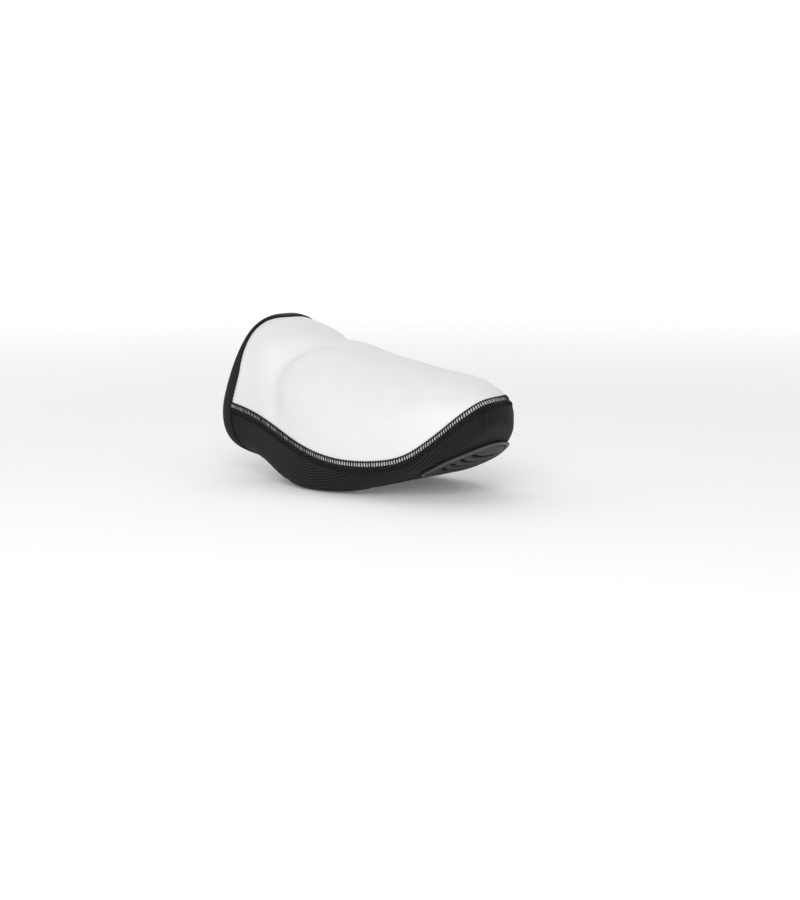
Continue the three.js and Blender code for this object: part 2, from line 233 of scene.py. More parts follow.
# %% [markdown]
# ## Stations, the seam and the rear edge
#
# A pattern cutter marks a cloth by how far round it is and how far from a seam. Stations do
# the first: they go round the toe by degrees and then back along each side by millimetres.
# The seam's height at each station is a short table, and so is the slope of the rear edge.

# %% Stations
TOE_CENTRE = 52
REAR_EDGE = 199.5
LAST_STATION = 90 + REAR_EDGE - TOE_CENTRE
EDGE_SPREAD = 1.5   # the power with which the lines take up the rear edge's shape
REAR_EDGE_SHAPE = [   # angle from level, how far forward the edge lies
    [-90, 40], [-65, 39], [-50, 36.5], [-40, 31], [-32, 20.5], [-24, 9.5],
    [-16, 3], [-8, 0.5], [0, 0], [20, 3], [40, 7], [60, 10], [90, 11],
]
rear_edge_forward = curve(REAR_EDGE_SHAPE, 1)


def station_point(station, angle):
    """The form's point at a station and an angle above level, on a ray from the axis.

    Stations up to 90 are degrees round the toe and then millimetres behind its centre;
    negative ones are lateral.
    """
    station, angle = np.broadcast_arrays(np.asarray(station, float), np.asarray(angle, float))
    size = np.abs(station)
    behind = np.maximum(size - 90, 0)
    share = np.minimum(behind / (REAR_EDGE - TOE_CENTRE), 1) ** EDGE_SPREAD
    back = TOE_CENTRE + behind - share * rear_edge_forward(angle)
    turn = np.radians(np.minimum(size, 90))
    rise = np.radians(angle)
    origin = np.stack([-back, section["axis"](back), section["widest"](back)], -1)
    level = np.cos(rise)
    direction = np.stack([level * np.cos(turn), level * np.sin(turn) * np.sign(station + 1e-9),
                          np.sin(rise)], -1)
    return cast(origin, direction)

# %% The seam
SEAM_HEIGHT = [   # |station|, height on the lateral side, height on the medial side
    [0, 61, 61], [15, 59.2, 60.8], [30, 52.6, 59.2], [45, 42.9, 55.2], [60, 33.9, 50],
    [75, 26.6, 45], [90, 22.4, 41], [110, 20, 36], [130, 21, 34], [150, 25.4, 35],
    [175, 32.9, 39], [205, 41.1, 42.5], [245, 47.2, 47.2],
]
seam_lateral, seam_medial = curve(SEAM_HEIGHT, 1), curve(SEAM_HEIGHT, 2)
SEAM_ANGLES = (-60.0, 85.0)   # the seam is looked for between these angles
SEAM_HALVINGS = 18


def seam_angle(station):
    """The angle at which a station's line reaches the seam's height, by halving."""
    size = np.abs(station)
    height = np.where(station < 0, seam_lateral(size), seam_medial(size))
    low, high = (np.full_like(station, limit) for limit in SEAM_ANGLES)
    for _ in range(SEAM_HALVINGS):
        middle = (low + high) / 2
        above = station_point(station, middle)[..., 2] > height
        high = np.where(above, middle, high)
        low = np.where(above, low, middle)
    return (low + high) / 2


def lengths_along(points):
    """Distance travelled along the last-but-one axis of a line of points, from 0."""
    step = np.linalg.norm(np.diff(points, axis=-2), axis=-1)
    return np.concatenate([np.zeros_like(step[..., :1]), np.cumsum(step, -1)], -1)


fine_stations = np.linspace(-LAST_STATION, LAST_STATION, 801)
fine_angles = seam_angle(fine_stations)
fine_along = lengths_along(station_point(fine_stations, fine_angles))
SEAM_LENGTH = fine_along[-1]
SEAM_MIDDLE = np.interp(0, fine_stations, fine_along)
print(f"the seam is {SEAM_LENGTH:.0f} mm long")

# %% [markdown]
# Stitches, tape and cut edges lie at a distance along the seam and a distance across it. One
# map turns those two numbers and a height into a place on the skin. The sewn details are
# then drawn flat, as on a cutting table, and the map sews them on.

# %% Places at a distance from the seam
def regrid(x, xp, fp):
    """Linear interpolation in each row: fp at xp, read at x, for rising xp."""
    i = np.clip((xp[:, None, :] <= x[..., None]).sum(-1) - 1, 0, xp.shape[1] - 2)
    left, right = np.take_along_axis(xp, i, 1), np.take_along_axis(xp, i + 1, 1)
    t = np.clip((x - left) / np.maximum(right - left, 1e-9), 0, 1)
    return np.take_along_axis(fp, i, 1) * (1 - t) + np.take_along_axis(fp, i + 1, 1) * t


def angles_at(station, start, end, distance):
    """Angles whose arc length from start, towards end, is distance, for one row per station."""
    angles = start + (end - start) * np.linspace(0, 1, 61)
    along = lengths_along(station_point(station, angles))
    return regrid(np.minimum(distance, along[:, -1:]), along, angles)

# %% The map along and across the seam
BAND_UP, BAND_DOWN = 12.0, 26.0
BAND_STEP = 0.5
band_along = np.linspace(0, SEAM_LENGTH, 700)
band_across = np.arange(-BAND_DOWN, BAND_UP + 0.01, BAND_STEP)
band_station = np.interp(band_along, fine_along, fine_stations)[:, None]
band_seam = np.interp(band_along, fine_along, fine_angles)[:, None]
up, down = band_across[None, band_across >= 0], -band_across[None, band_across < 0]
to_sole, to_ridge = np.full_like(band_seam, -90), np.full_like(band_seam, 90)
band_angle = np.concatenate([
    angles_at(band_station, band_seam, to_sole, np.repeat(down, len(band_along), 0)),
    angles_at(band_station, band_seam, to_ridge, np.repeat(up, len(band_along), 0))], 1)
band_form = station_point(band_station, band_angle)
band_skin, band_normal = lifted(band_form), normal_at(band_form)
print("the seam's map has", " x ".join(map(str, band_angle.shape)), "points")

# %% Reading the map
def read_grid(grid, i, j):
    """A grid's value, a number or a point, between its rows and columns: the four neighbours,
    each weighted by the product of its shares along the two directions."""
    i0 = np.minimum(i.astype(int), grid.shape[0] - 2)
    j0 = np.minimum(j.astype(int), grid.shape[1] - 2)
    ti, tj = i - i0, j - j0
    if grid.ndim == 3:
        ti, tj = ti[..., None], tj[..., None]
    return ((1 - ti) * (1 - tj) * grid[i0, j0] + ti * (1 - tj) * grid[i0 + 1, j0]
            + (1 - ti) * tj * grid[i0, j0 + 1] + ti * tj * grid[i0 + 1, j0 + 1])


def on_band(along, across, out=0.0):
    """The skin point at a distance along the seam and across it, upwards positive, lifted by
    out along the normal, and that normal."""
    along, across = np.broadcast_arrays(np.asarray(along, float), np.asarray(across, float))
    i = np.clip(along / SEAM_LENGTH, 0, 1) * (len(band_along) - 1)
    j = np.clip((across + BAND_DOWN) / BAND_STEP, 0, len(band_across) - 1)
    normal = read_grid(band_normal, i, j)
    normal /= np.linalg.norm(normal, axis=-1, keepdims=True)
    out = np.broadcast_to(out, along.shape)[..., None]
    return read_grid(band_skin, i, j) + normal * out, normal

# %% [markdown]
# ## From numbers to meshes
#
# Every surface below is a grid of points worked out with numpy. A grid's faces are the same
# four corners everywhere, so they come from one array of indices, and the whole array goes
# into the mesh at once. Adding faces one by one with bmesh would do the same more slowly.

# %% Where the form sits in the frame
probe = lifted(station_point(np.linspace(-LAST_STATION, LAST_STATION, 181)[:, None],
                             np.linspace(-90, 90, 61)[None, :]))
cad_low, cad_high = (np.array(corner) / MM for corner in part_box("sole_panel"))
FORM_TO_FRAME = np.array([
    cad_high[0] - probe[..., 0].max(),
    (cad_low[1] + cad_high[1] - probe[..., 1].min() - probe[..., 1].max()) / 2,
    cad_low[2] - REST_LEVEL,
])
print("the form's toe tip lies at", FORM_TO_FRAME.round(2), "mm in the frame")

# %% Faces of a grid
def grid_quads(rows, columns, around=False, closed=False):
    """Corner indices of a grid's quads; around joins the last column to the first, and closed
    joins the last row to the first."""
    i = np.arange(rows if closed else rows - 1)[:, None]
    j = np.arange(columns if around else columns - 1)[None, :]
    i1, j1 = (i + 1) % rows, (j + 1) % columns
    corners = [i * columns + j, i1 * columns + j, i1 * columns + j1, i * columns + j1]
    return np.stack(np.broadcast_arrays(*corners), -1).reshape(-1, 4)


WELD = 0.004


def welded(points, quads):
    """Points less than WELD apart become one, and a quad that loses a side becomes a triangle."""
    key = np.round(points / WELD).astype(np.int64)
    _, first, same = np.unique(key, axis=0, return_index=True, return_inverse=True)
    quads = same.reshape(-1)[quads]
    lost = quads == np.roll(quads, -1, 1)
    short = lost.sum(1) == 1
    others = np.array([[1, 2, 3], [0, 2, 3], [0, 1, 3], [0, 1, 2]])
    triangles = np.take_along_axis(quads[short], others[lost[short].argmax(1)], 1)
    return first, quads[lost.sum(1) == 0], triangles

# %% Which way the faces look
def outward(points, faces, inside):
    """The faces, turned round when they look towards a point inside: the sum over all faces
    of (cross product of two sides) . (corner - inside) tells which."""
    a, b, c = (points[faces[:, k]] for k in range(3))
    away = np.einsum("ij,ij->i", np.cross(b - a, c - a), a - inside)
    return faces if away.sum() > 0 else faces[:, ::-1]


def volume_of(points, faces):
    """Signed volume inside triangles or quads, a sixth of the sum of their triple products."""
    a, b, c = (points[faces[:, k]] for k in (0, 1, 2))
    total = np.einsum("ij,ij->", a, np.cross(b, c))
    if faces.shape[1] == 4:
        total += np.einsum("ij,ij->", a, np.cross(c, points[faces[:, 3]]))
    return total / 6

# %% The mesh and its object
def make_piece(name, points, faces, *materials, uv=None):
    """An object whose mesh holds points, given in the form's millimetres, in the frame."""
    mesh = bpy.data.meshes.new(name)
    mesh.from_pydata(((points + FORM_TO_FRAME) * MM).tolist(), [], faces)
    if uv is not None:
        corner_vertex = np.empty(len(mesh.loops), int)
        mesh.loops.foreach_get("vertex_index", corner_vertex)
        mesh.uv_layers.new(name="cloth").data.foreach_set("uv", (uv * MM)[corner_vertex].ravel())
    mesh.shade_smooth()
    for material in materials:
        mesh.materials.append(material)
    piece = bpy.data.objects.new(name, mesh)
    bpy.context.collection.objects.link(piece)
    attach(piece, "root")
    print(f"{name}: {len(mesh.vertices)} points, {len(mesh.polygons)} faces")
    return piece

# %% A profile carried along a path
def swept(rings, closed):
    """Points and quads of a tube through rings, an array of (paths, rings, ring points, 3).

    Each ring is joined to the next one; the ends of an open tube are closed by a cap whose
    ring is shrunk to its middle.
    """
    if not closed:
        first = rings[:, :1].mean(2, keepdims=True) + 0 * rings[:, :1]
        last = rings[:, -1:].mean(2, keepdims=True) + 0 * rings[:, -1:]
        rings = np.concatenate([first, rings, last], 1)
    paths, count, around = rings.shape[:3]
    quads = grid_quads(count, around, around=True, closed=closed)
    if volume_of(rings[0].reshape(-1, 3), quads) < 0:
        quads = quads[:, ::-1]
    quads = (quads[None] + (np.arange(paths) * count * around)[:, None, None]).reshape(-1, 4)
    points = rings.reshape(-1, 3)
    if closed:
        return points, quads.tolist()
    first, quads, triangles = welded(points, quads)
    return points[first], [*quads.tolist(), *triangles.tolist()]

# %% A thread
def thread_rings(points, normals, radius, sides, closed, taper):
    """Rings of a thread: the centre line plus radius*(cos(a)*side + sin(a)*normal).

    The radius is one number or one for each thread. The side is square to the line and to
    the skin's normal. An open thread thins to a rounded end, by the fourth root of
    1 - |2t - 1|^6 along it.
    """
    if closed:
        ahead = np.roll(points, -1, 1) - np.roll(points, 1, 1)
    else:
        ahead = np.gradient(points, axis=1)
    side = np.cross(ahead, normals)
    side /= np.linalg.norm(side, axis=-1, keepdims=True) + 1e-9
    angle = 2 * np.pi * np.arange(sides) / sides
    t = np.linspace(0, 1, points.shape[1])
    size = np.maximum(1 - np.abs(2 * t - 1) ** 6, 0.02) ** 0.25 if taper else 1 + 0 * t
    size = np.reshape(radius, (-1, 1)) * size
    ring = np.cos(angle)[:, None] * side[:, :, None] + np.sin(angle)[:, None] * normals[:, :, None]
    return points[:, :, None] + ring * size[:, :, None, None]


def sewn(name, places, radius, sides, material, closed=False, taper=True):
    """A piece of threads that follow places: lines of points on the skin and their normals."""
    points, normals = (np.reshape(values, (-1, *values.shape[-2:])) for values in places)
    rings = thread_rings(points, normals, radius, sides, closed, taper)
    return make_piece(name, *swept(rings, closed), material)

# %% [markdown]
# ## Shader groups
#
# Two effects are shared. The grain gives a fine height and a broad, soft mottling of tone. The
# knitted ribs give the height of a cloth's ribs and of the stitches on them. Each is a node
# group with named inputs, built once and placed in every material that shows it with its own
# values. Nodes that work from the surface's own coordinates need no picture files.

# %% Node helpers
def new_group(name, inputs, outputs):
    """A shader group with float inputs (name, default), vector inputs (name,) and outputs."""
    tree = bpy.data.node_groups.new(name, "ShaderNodeTree")
    for socket, *default in inputs:
        kind = "NodeSocketFloat" if default else "NodeSocketVector"
        made = tree.interface.new_socket(socket, in_out="INPUT", socket_type=kind)
        if default:
            made.default_value = default[0]
    for socket in outputs:
        tree.interface.new_socket(socket, in_out="OUTPUT", socket_type="NodeSocketFloat")
    return tree, tree.nodes.new("NodeGroupInput"), tree.nodes.new("NodeGroupOutput")


def math_node(tree, operation, a, b=None):
    """A Math node on two values, each a socket or a number; returns its output."""
    node = tree.nodes.new("ShaderNodeMath")
    node.operation = operation
    for socket, value in zip(node.inputs, (a, b)):
        if isinstance(value, bpy.types.NodeSocket):
            tree.links.new(value, socket)
        elif value is not None:
            socket.default_value = value
    return node.outputs[0]


def noise_node(tree, vector, scale, detail, rough):
    """A Noise texture read at a vector, with its scale from a socket; returns its value."""
    node = tree.nodes.new("ShaderNodeTexNoise")
    node.inputs["Detail"].default_value = detail
    node.inputs["Roughness"].default_value = rough
    tree.links.new(vector, node.inputs["Vector"])
    tree.links.new(scale, node.inputs["Scale"])
    return node.outputs["Fac"]

# %% Grain and mottling
grain, given, result = new_group("grain", [("Place",), ("Cells per metre", 1500.0)],
                                 ["Height", "Tone"])
place, cells = given.outputs["Place"], given.outputs["Cells per metre"]
fine = noise_node(grain, place, cells, detail=3.0, rough=0.6)
broad_cells = math_node(grain, "MULTIPLY", cells, 0.04)
broad = noise_node(grain, place, broad_cells, detail=2.0, rough=0.5)
grain.links.new(fine, result.inputs["Height"])
grain.links.new(broad, result.inputs["Tone"])
print(f"{grain.name}: {len(grain.nodes)} nodes")

# %% Ribs of a knitted cloth
# Height is a rounded ridge sin(pi*across/pitch)^2, times 0.6 + 0.4*|sin(pi*(along/stitch +
# half a stitch for every rib))|. It reads the cloth's own coordinates: along the rib and
# across it, both in metres.
def half_turn_sine(tree, turns):
    """sin(pi*turns): one hump for every whole turn."""
    return math_node(tree, "SINE", math_node(tree, "MULTIPLY", turns, math.pi))


ribs, given, result = new_group("knitted ribs", [("Cloth",), ("Pitch", 0.0015), ("Stitch", 0.0009)],
                                ["Height"])
split = ribs.nodes.new("ShaderNodeSeparateXYZ")
ribs.links.new(given.outputs["Cloth"], split.inputs[0])
rib = math_node(ribs, "DIVIDE", split.outputs["Y"], given.outputs["Pitch"])
ridge = math_node(ribs, "POWER", half_turn_sine(ribs, rib), 2.0)
loops = math_node(ribs, "DIVIDE", split.outputs["X"], given.outputs["Stitch"])
stagger = math_node(ribs, "MULTIPLY", math_node(ribs, "FLOOR", rib), 0.5)
stitch = math_node(ribs, "ABSOLUTE", half_turn_sine(ribs, math_node(ribs, "ADD", loops, stagger)))
dented = math_node(ribs, "ADD", math_node(ribs, "MULTIPLY", stitch, 0.4), 0.6)
ribs.links.new(math_node(ribs, "MULTIPLY", ridge, dented), result.inputs["Height"])
print(f"{ribs.name}: {len(ribs.nodes)} nodes")

# %% [markdown]
# ## Materials
#
# Each finish keeps its own Principled shader. What is the same all over is set on the
# shader's sockets; what changes over the surface comes from the groups, mixed between two
# colours, carried to a range of roughness or added as a small bump. A socket that is linked
# keeps a plain middle value too, for a program that can't read the nodes.

# %% Material helpers
def shader_of(material):
    """The material's own Principled shader."""
    return material.node_tree.nodes["Principled BSDF"]


def new_material(name, color, **settings):
    """A material whose Principled shader has those plain values on its sockets."""
    material = bpy.data.materials.new(name)
    material.use_nodes = True
    shader = shader_of(material)
    shader.inputs["Base Color"].default_value = (*color, 1)
    for socket, value in settings.items():
        shader.inputs[socket.replace("_", " ")].default_value = value
    return material


def coordinates(material, cloth):
    """The piece's own cloth coordinates, or its Object coordinates, as a socket."""
    nodes = material.node_tree.nodes
    if cloth:
        node = nodes.new("ShaderNodeUVMap")
        node.uv_map = "cloth"
        return node.outputs["UV"]
    return nodes.new("ShaderNodeTexCoord").outputs["Object"]


def put_group(material, group, place, **values):
    """A copy of a group in a material, with its vector input linked and its values set."""
    node = material.node_tree.nodes.new("ShaderNodeGroup")
    node.node_tree = group
    material.node_tree.links.new(place, node.inputs[0])
    for name, value in values.items():
        node.inputs[name.replace("_", " ")].default_value = value
    return node.outputs

# %% Changing a finish over the surface
def vary(material, socket, value, low, high):
    """A value from 0 to 1 carried to the range low to high, into one of the shader's sockets."""
    tree = material.node_tree
    node = tree.nodes.new("ShaderNodeMapRange")
    node.inputs["To Min"].default_value, node.inputs["To Max"].default_value = low, high
    tree.links.new(value, node.inputs["Value"])
    tree.links.new(node.outputs["Result"], shader_of(material).inputs[socket])


def mix_colors(material, value, dark, light):
    """dark where value is 0 and light where it is 1, into Base Color."""
    tree = material.node_tree
    node = tree.nodes.new("ShaderNodeMix")
    node.data_type = "RGBA"
    first, second = [s for s in node.inputs if s.type == "RGBA"]
    first.default_value, second.default_value = (*dark, 1), (*light, 1)
    tree.links.new(value, node.inputs["Factor"])
    mixed = [s for s in node.outputs if s.type == "RGBA"][0]
    tree.links.new(mixed, shader_of(material).inputs["Base Color"])


def add_bump(material, height, distance, strength):
    """A Bump node on top of any that the shader's Normal already has."""
    tree = material.node_tree
    normal = shader_of(material).inputs["Normal"]
    node = tree.nodes.new("ShaderNodeBump")
    node.inputs["Distance"].default_value = distance
    node.inputs["Strength"].default_value = strength
    tree.links.new(height, node.inputs["Height"])
    if normal.is_linked:
        tree.links.new(normal.links[0].from_socket, node.inputs["Normal"])
    tree.links.new(node.outputs["Normal"], normal)

# %% [markdown]
# The upper is foam rubber with a smooth white coat. It is matt, with a fine leathery grain
# and a faint unevenness where the foam gives. Both are too low for the mesh, so they are
# bumps from one group at two scales.

# %% White coated neoprene
def coated_neoprene():
    """White coat: tone from the broad mottling, roughness from the fine grain, two bumps."""
    material = new_material("coated neoprene", (0.80, 0.80, 0.81), Roughness=0.55,
                            Coat_Weight=0.08, Coat_Roughness=0.35)
    place = coordinates(material, cloth=False)
    surface = put_group(material, grain, place, Cells_per_metre=2200.0)
    mix_colors(material, surface["Tone"], (0.775, 0.775, 0.79), (0.825, 0.825, 0.83))
    vary(material, "Roughness", surface["Height"], 0.47, 0.62)
    dimples = put_group(material, grain, place, Cells_per_metre=160.0)
    add_bump(material, dimples["Height"], 0.0006, 0.12)
    add_bump(material, surface["Height"], 0.00012, 0.35)
    return material

# %% [markdown]
# The panel round the toe and under the foot is a hard-wearing cloth with fine ribs. On the
# flat cloth the ribs run the length of the foot, so on the sides they lie level, and at the
# toe they turn up. The ribs are too fine for a mesh and are read from the cloth coordinates.

# %% Black ribbed cloth
def ribbed_cloth():
    """Black cloth: the larger bump from the ribs, and colour from them too, as painted highlights
    on the crests and painted shade in the gaps; roughness from the grain.
    """
    material = new_material("ribbed cloth", (0.02, 0.02, 0.021), Roughness=0.62,
                            Specular_IOR_Level=0.16)
    cloth = coordinates(material, cloth=True)
    knit = put_group(material, ribs, cloth, Pitch=0.0018, Stitch=0.0013)
    surface = put_group(material, grain, coordinates(material, cloth=False), Cells_per_metre=2500.0)
    # painted highlights on the rib crests and painted shade in the gaps between them
    mix_colors(material, knit["Height"], (0.001, 0.001, 0.001), (0.031, 0.031, 0.032))
    vary(material, "Roughness", surface["Height"], 0.5, 0.75)
    add_bump(material, surface["Height"], 0.0001, 0.4)
    add_bump(material, knit["Height"], 0.0005, 0.9)
    return material

# %% [markdown]
# Neoprene is sold with a thin jersey glued to its back, which stops it from sticking to what
# it is pulled over. It is dull and close, so a plain dark colour with a fine grain and a
# little sheen is enough; the back of a cloth needs no stitches of its own.

# %% Dark jersey lining
def jersey_lining():
    """Dark cloth back: colour and bump from the fine grain."""
    material = new_material("jersey lining", (0.02, 0.02, 0.022), Roughness=0.85,
                            Sheen_Weight=0.1, Specular_IOR_Level=0.25)
    place = coordinates(material, cloth=False)
    surface = put_group(material, grain, place, Cells_per_metre=1600.0)
    mix_colors(material, surface["Height"], (0.010, 0.010, 0.011), (0.032, 0.032, 0.035))
    add_bump(material, surface["Height"], 0.0003, 0.6)
    return material

# %% [markdown]
# The binding is a smooth folded elastic. Its cords run along it, close together, and catch
# the light as faint lines, so it has the same ribs as the cloth, only narrower and flatter.

# %% Black elastic
def folded_elastic():
    """Black elastic: bump from narrow ribs, and colour from them too, as painted highlights on
    their crests and painted shade between them; roughness from the grain.
    """
    material = new_material("folded elastic", (0.022, 0.022, 0.023), Roughness=0.55,
                            Specular_IOR_Level=0.25)
    cloth = coordinates(material, cloth=True)
    knit = put_group(material, ribs, cloth, Pitch=0.0007, Stitch=0.0005)
    # painted highlights on the cord crests and painted shade between them
    mix_colors(material, knit["Height"], (0.005, 0.005, 0.005), (0.016, 0.016, 0.0165))
    surface = put_group(material, grain, coordinates(material, cloth=False), Cells_per_metre=900.0)
    vary(material, "Roughness", surface["Height"], 0.42, 0.62)
    add_bump(material, knit["Height"], 0.00012, 0.6)
    return material

# %% [markdown]
# Thread is a yarn of short fibres, dull and a little uneven. The cut edge of the neoprene
# that shows between the stitches is as dull, only pale, so one function makes both. A yarn
# twisted from real strands would be too fine to see on half a millimetre.

# %% Thread and the cut white edge
def sewing_thread(name, dark, light, rough):
    """Dull yarn: colour and bump from the fine grain."""
    material = new_material(name, light, Roughness=rough, Specular_IOR_Level=0.2)
    surface = put_group(material, grain, coordinates(material, cloth=False), Cells_per_metre=2600.0)
    mix_colors(material, surface["Height"], dark, light)
    add_bump(material, surface["Height"], 0.00015, 0.6)
    return material

# %% [markdown]
# The pad is moulded rubber. Its bead is rubbed paler by the ground, and its grooves are dull,
# with their shade painted nearly black, as is the shallow line inside the bead. The material
# reads that from the piece's own attribute, which is 0 in the painted shade of the grooves and
# 1 on the bead. Painting it by hand would do, but wouldn't follow the shape.

# %% Rubber
def pad_rubber():
    """Dark rubber: colour and gloss from the piece's attribute, with painted shade in the grooves
    and the bead rubbed paler; roughness and bump from the fine grain.
    """
    material = new_material("pad rubber", (0.03, 0.03, 0.03), Roughness=0.5)
    surface = put_group(material, grain, coordinates(material, cloth=False), Cells_per_metre=1800.0)
    wear_and_shade = material.node_tree.nodes.new("ShaderNodeAttribute")
    wear_and_shade.attribute_name = "wear_and_shade"
    # painted shade: nearly black in the grooves; paler on the rubbed bead
    mix_colors(material, wear_and_shade.outputs["Fac"], (0.001, 0.001, 0.001), (0.095, 0.095, 0.097))
    vary(material, "Specular IOR Level", wear_and_shade.outputs["Fac"], 0.0, 0.5)
    vary(material, "Roughness", surface["Height"], 0.42, 0.6)
    add_bump(material, surface["Height"], 0.00012, 0.4)
    return material

# %% All the finishes
NEOPRENE, CLOTH, LINING = coated_neoprene(), ribbed_cloth(), jersey_lining()
ELASTIC, RUBBER = folded_elastic(), pad_rubber()
BLACK_THREAD = sewing_thread("black thread", (0.003, 0.003, 0.003), (0.016, 0.016, 0.017), 0.6)
GREY_THREAD = sewing_thread("dark grey thread", (0.02, 0.02, 0.02), (0.08, 0.08, 0.082), 0.6)
PALE_EDGE = sewing_thread("pale cut edge", (0.32, 0.32, 0.325), (0.74, 0.74, 0.75), 0.7)
FINISHES = [NEOPRENE, CLOTH, LINING, ELASTIC, RUBBER, BLACK_THREAD, GREY_THREAD, PALE_EDGE]
print("finishes:", ", ".join(material.name for material in FINISHES))

# %% [markdown]
# ## The two panels
#
# Both panels hang from the seam, the upper up to the ridge and the sole panel down under the
# foot. Lines of points start at the seam, half a millimetre apart at first, where the cloth
# is drawn in by its stitches, and then evenly. A Solidify modifier gives the sheet its wall,
# inwards, with the lining as the second material. A simulated cloth would need a shoe to
# hang on, and its folds would fall where they liked.

# %% Lines of points on a panel
PANEL_COLUMNS = 331
NEAR_SEAM = np.arange(0, 12.01, 0.5)   # distances from the seam of the first rows


def panel_lines(end, far_rows):
    """Points, distances from the seam, stations and angles on lines from the seam to end.

    The medial stations mirror the lateral ones, so both sides meet point to point in the
    middle.
    """
    along = np.linspace(0, SEAM_MIDDLE, PANEL_COLUMNS // 2 + 1)
    lateral = np.interp(along, fine_along, fine_stations)
    lateral[-1] = 0
    station = np.concatenate([lateral, -lateral[-2::-1]])[:, None]
    start = np.interp(station, fine_stations, fine_angles)
    angles = start + (end - start) * np.linspace(0, 1, 91)
    lengths = lengths_along(station_point(station, angles))
    far = NEAR_SEAM[-1] + (lengths[:, -1:] - NEAR_SEAM[-1]) * np.linspace(0, 1, far_rows + 1)[1:]
    near = np.broadcast_to(NEAR_SEAM, (PANEL_COLUMNS, len(NEAR_SEAM)))
    distance = np.concatenate([near, far], 1)
    angle = regrid(distance, lengths, angles)
    angle[:, -1] = end
    return station_point(station, angle), distance, station, angle

# %% How far the binding reaches
BINDING_WIDTH = 7.3
LATERAL_REACH = np.array([   # angle from level, how far in front of the edge it reaches
    [-90, BINDING_WIDTH], [25, BINDING_WIDTH], [35, 6.4], [42, 4.6], [50, 2.9], [60, 1.9],
    [68, 1.4], [76, 1.6], [83, 3.4], [90, 6.4],
])
MEDIAL_REACH = np.array([[84, BINDING_WIDTH], [90, 6.4]])


def binding_reach(side, angle):
    """How far in front of the rear edge the binding reaches, straight between the rows of its
    side's table; over the lateral instep it has rolled inwards."""
    return np.where(side < 0, np.interp(angle, *LATERAL_REACH.T), np.interp(angle, *MEDIAL_REACH.T))


def under_binding(station, angle):
    """1 where the binding covers a panel and 0 in front of it, with a short slope."""
    reach = binding_reach(station, angle)
    return 1 - smoothstep(reach - 1.0, reach + 1.6, LAST_STATION - np.abs(station))

# %% A panel's mesh and its wall
PANEL_CENTRE = np.array([-100, 0, 40])   # a place inside, for telling in from out


def panel_faces(skin):
    """Which points of a panel's grid stay, the points, and its quads and triangles, outwards."""
    first, quads, triangles = welded(skin.reshape(-1, 3), grid_quads(*skin.shape[:2]))
    points = skin.reshape(-1, 3)[first]
    return (first, points, outward(points, quads, PANEL_CENTRE),
            outward(points, triangles, PANEL_CENTRE))


def wall(piece, thickness):
    """Gives a sheet its wall, inwards, with its second material on the back and the edges."""
    solid = piece.modifiers.new("wall", "SOLIDIFY")
    solid.thickness, solid.offset = thickness * MM, -1
    solid.use_quality_normals = True
    solid.material_offset = 1
    solid.material_offset_rim = 1

# %% The white upper
UPPER_WALL = 2.5
STITCH_PULL = 0.9       # the stitches draw both panels in by this much at the seam
BINDING_SQUEEZE = 0.6   # and the binding presses the soft upper down by this
form, distance, station, angle = panel_lines(90, far_rows=62)
pulled = -STITCH_PULL * np.exp(-((distance / 1.3) ** 2))
swell = 0.2 * np.exp(-(((distance - 5) / 3) ** 2))   # the foam stands up beside the seam
skin = lifted(form, pulled + swell - BINDING_SQUEEZE * under_binding(station, angle))
_, points, quads, triangles = panel_faces(skin)
faces = [*quads.tolist(), *triangles.tolist()]
upper = make_piece("upper_shell", points, faces, NEOPRENE, LINING)
wall(upper, UPPER_WALL)
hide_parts("upper_panel")

# %% [markdown]
# The sole panel is drawn the same way, downwards. Its seam allowance is two layers thick and
# ends in a small step 7 mm below the seam. Where the side turns under, the cloth has a fine
# crease. The cleat opening is cut by leaving out every face that reaches inside its outline
# and drawing the edge that is left onto it; a Boolean would work too, but leaves slivers.

# %% How far round a section a point is
BACKS = 212 * np.linspace(0.02, 1, 320) ** 3   # closer together towards the toe
TURNS = np.linspace(-90, 75, 140)


def section_lengths(side):
    """Distance round each section from under the foot, up the side named by side (-1 or 1)."""
    back, turn = np.broadcast_arrays(BACKS[:, None], np.radians(TURNS)[None, :])
    origin = np.stack([-back, section["axis"](back), section["widest"](back)], -1)
    direction = np.stack([0 * turn, side * np.cos(turn), np.sin(turn)], -1)
    return lengths_along(cast(origin, direction))


round_lateral, round_medial = section_lengths(-1), section_lengths(1)
print(f"up to {round_lateral.max():.0f} mm from under the foot up the lateral side")

# %% Coordinates on the flat cloth
DART_STATION = -13   # where the cloth is gathered at the toe; the ribs lean towards it
RIB_LEAN = 0.4
TOE_CLOTH = 0.85     # cloth in each millimetre round the toe, where it is stretched wider


def cloth_coordinates(p, station, angle):
    """Along and across the flat cloth.

    Across is the distance round the section from under the foot, negative on the lateral
    side; round the toe, where the cloth is pulled up, it turns into the distance from the
    middle of the toe. Along is height plus distance forwards.
    """
    back = -p[..., 0]
    side = p[..., 1] - section["axis"](back)
    turn = np.degrees(np.arctan2(p[..., 2] - section["widest"](back), np.abs(side)))
    i = np.interp(back, BACKS, np.arange(len(BACKS)))
    j = np.interp(turn, TURNS, np.arange(len(TURNS)))
    lateral, medial = read_grid(round_lateral, i, j), read_grid(round_medial, i, j)
    round_section = np.where(side < 0, -lateral, medial)
    lean = RIB_LEAN * (p[..., 2] - 20) * np.tanh((station - DART_STATION) / 8)
    round_toe = TOE_CLOTH * (np.interp(station, fine_stations, fine_along) - SEAM_MIDDLE) + lean
    toe = (1 - smoothstep(25, 100, np.abs(station))) * smoothstep(-86, -62, angle)
    across = round_section + (round_toe - round_section) * toe
    return np.stack([p[..., 0] + p[..., 2], across], -1)

